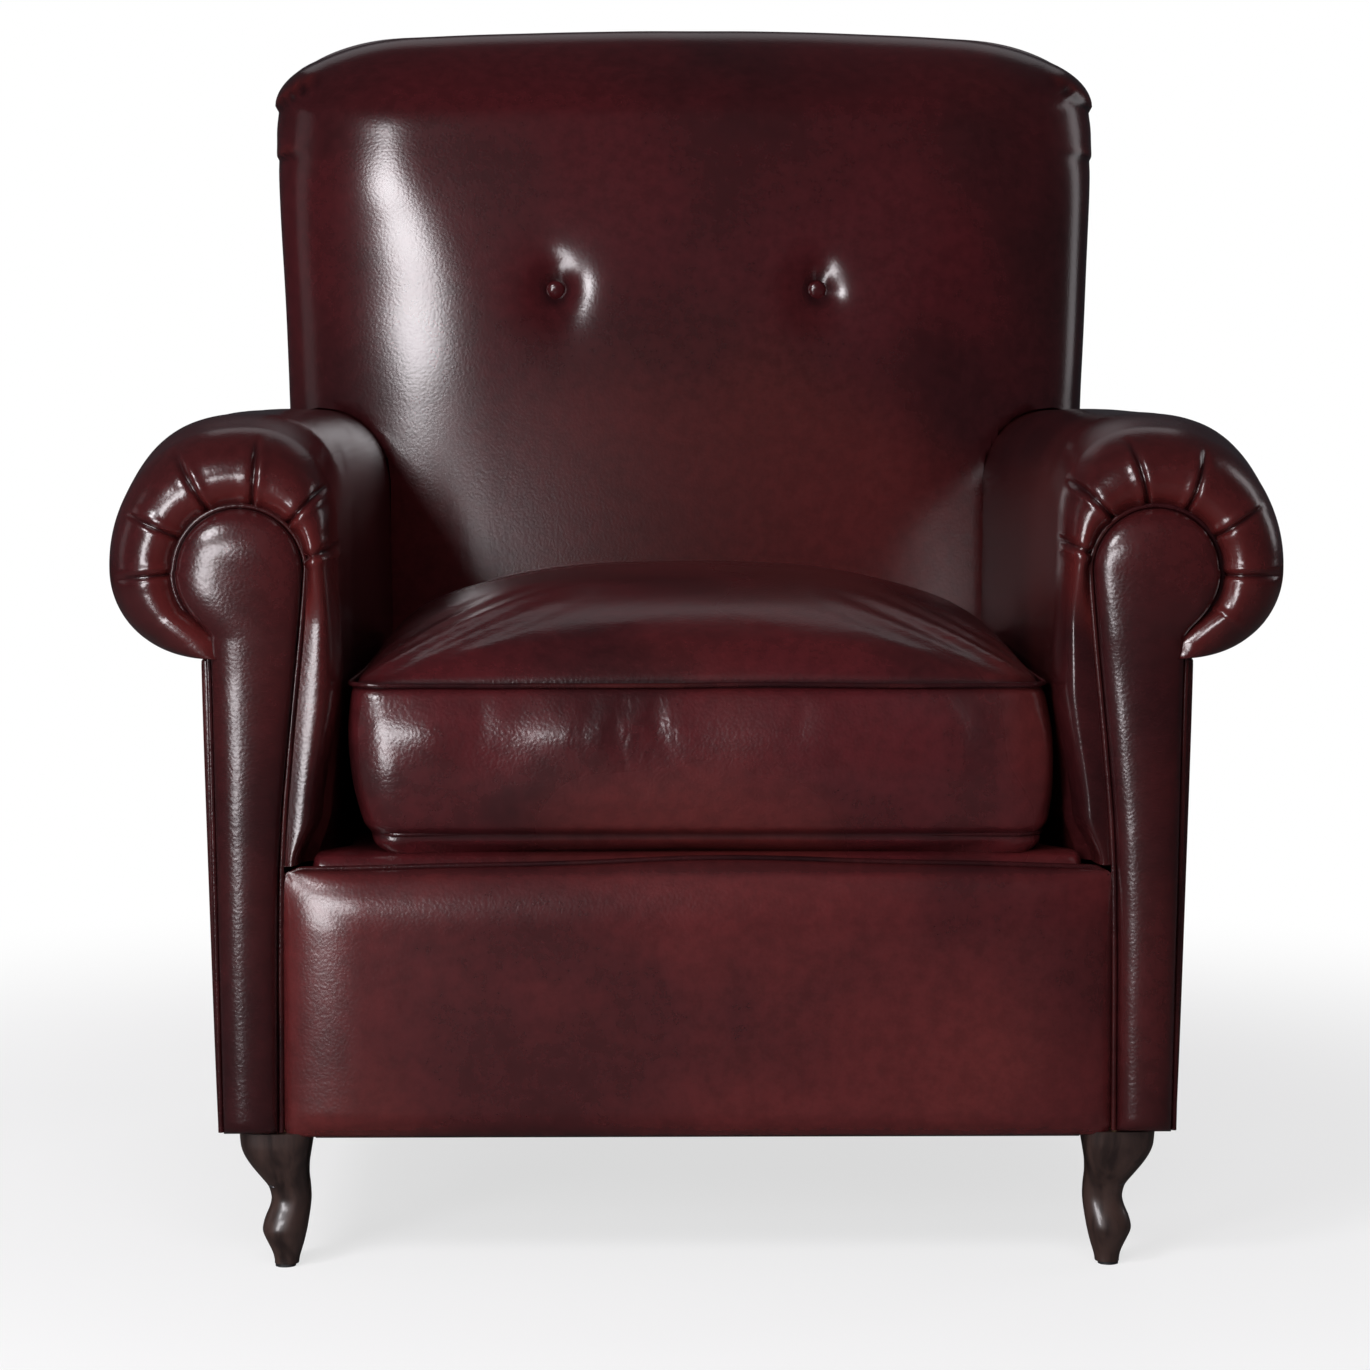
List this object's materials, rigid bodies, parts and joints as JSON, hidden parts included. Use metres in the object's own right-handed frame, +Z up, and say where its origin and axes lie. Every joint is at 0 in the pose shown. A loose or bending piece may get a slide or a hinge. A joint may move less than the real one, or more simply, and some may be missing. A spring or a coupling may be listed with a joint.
{
  "type": "leather club armchair",
  "caption": "Low scroll-arm club armchair in dark red leather, with a loose boxed seat cushion, a buttoned back, piped arm facings and short turned-out wooden feet.",
  "frame": {"origin": "on the floor, under the middle of the chair's box", "axes": "+Z up, +X to the chair's right-hand side as seen from the front, the sitter faces -Y"},
  "size_m": [0.852, 0.88, 0.957],
  "materials": {
    "wood_frame": "matte",
    "leg_wood": "satin",
    "steel": "satin",
    "spring_steel": "satin",
    "glide_plastic": "matte",
    "webbing": "matte",
    "hessian": "matte",
    "padding": "matte",
    "platform_cloth": "matte",
    "dust_cloth": "matte",
    "twine": "matte",
    "oxblood_leather": "satin",
    "leather_piping": "satin",
    "zip_tape": "matte",
    "zip_brass": "satin"
  },
  "bodies": {
    "chair": {"front_seat_rail": "wood_frame", "rear_seat_rail": "wood_frame", "left_seat_rail": "wood_frame", "right_seat_rail": "wood_frame", "corner_blocks": "wood_frame", "left_back_post": "wood_frame", "right_back_post": "wood_frame", "back_top_rail": "wood_frame", "back_tack_rail": "wood_frame", "left_arm_rail": "wood_frame", "right_arm_rail": "wood_frame", "left_arm_tack_rail": "wood_frame", "right_arm_tack_rail": "wood_frame", "left_arm_stump": "wood_frame", "right_arm_stump": "wood_frame", "left_facing_board": "wood_frame", "right_facing_board": "wood_frame", "button_toggles": "wood_frame", "front_left_leg": "leg_wood", "front_right_leg": "leg_wood", "rear_left_leg": "leg_wood", "rear_right_leg": "leg_wood", "leg_bolts": "steel", "seat_springs": "spring_steel", "leg_glides": "glide_plastic", "seat_webbing": "webbing", "back_webbing": "webbing", "seat_hessian": "hessian", "left_arm_hessian": "hessian", "right_arm_hessian": "hessian", "seat_pad": "padding", "front_edge_roll": "padding", "back_pad": "padding", "left_arm_pad": "padding", "right_arm_pad": "padding", "front_border_pad": "padding", "platform_cover": "platform_cloth", "dust_cover": "dust_cloth", "button_twines": "twine", "inside_back_cover": "oxblood_leather", "outside_back_panel": "oxblood_leather", "left_arm_cover": "oxblood_leather", "right_arm_cover": "oxblood_leather", "left_outside_arm_panel": "oxblood_leather", "right_outside_arm_panel": "oxblood_leather", "left_facing_cover": "oxblood_leather", "right_facing_cover": "oxblood_leather", "front_border_cover": "oxblood_leather", "back_buttons": "oxblood_leather", "left_facing_piping": "leather_piping", "right_facing_piping": "leather_piping", "front_border_piping": "leather_piping"},
    "cushion": {"cushion_core": "padding", "cushion_cover": "oxblood_leather", "cushion_piping": "leather_piping", "cushion_zip": "zip_tape"},
    "zip_pull": {"zip_slider": "zip_brass"}
  },
  "joints": [
    {"name": "cushion_lift", "type": "slide", "parent": "chair", "child": "cushion", "axis": [0, 0, 1], "range_m": [0, 0.3]},
    {"name": "zip_slide", "type": "slide", "parent": "cushion", "child": "zip_pull", "axis": [1, 0, 0], "range_m": [0, 0.385]}
  ]
}
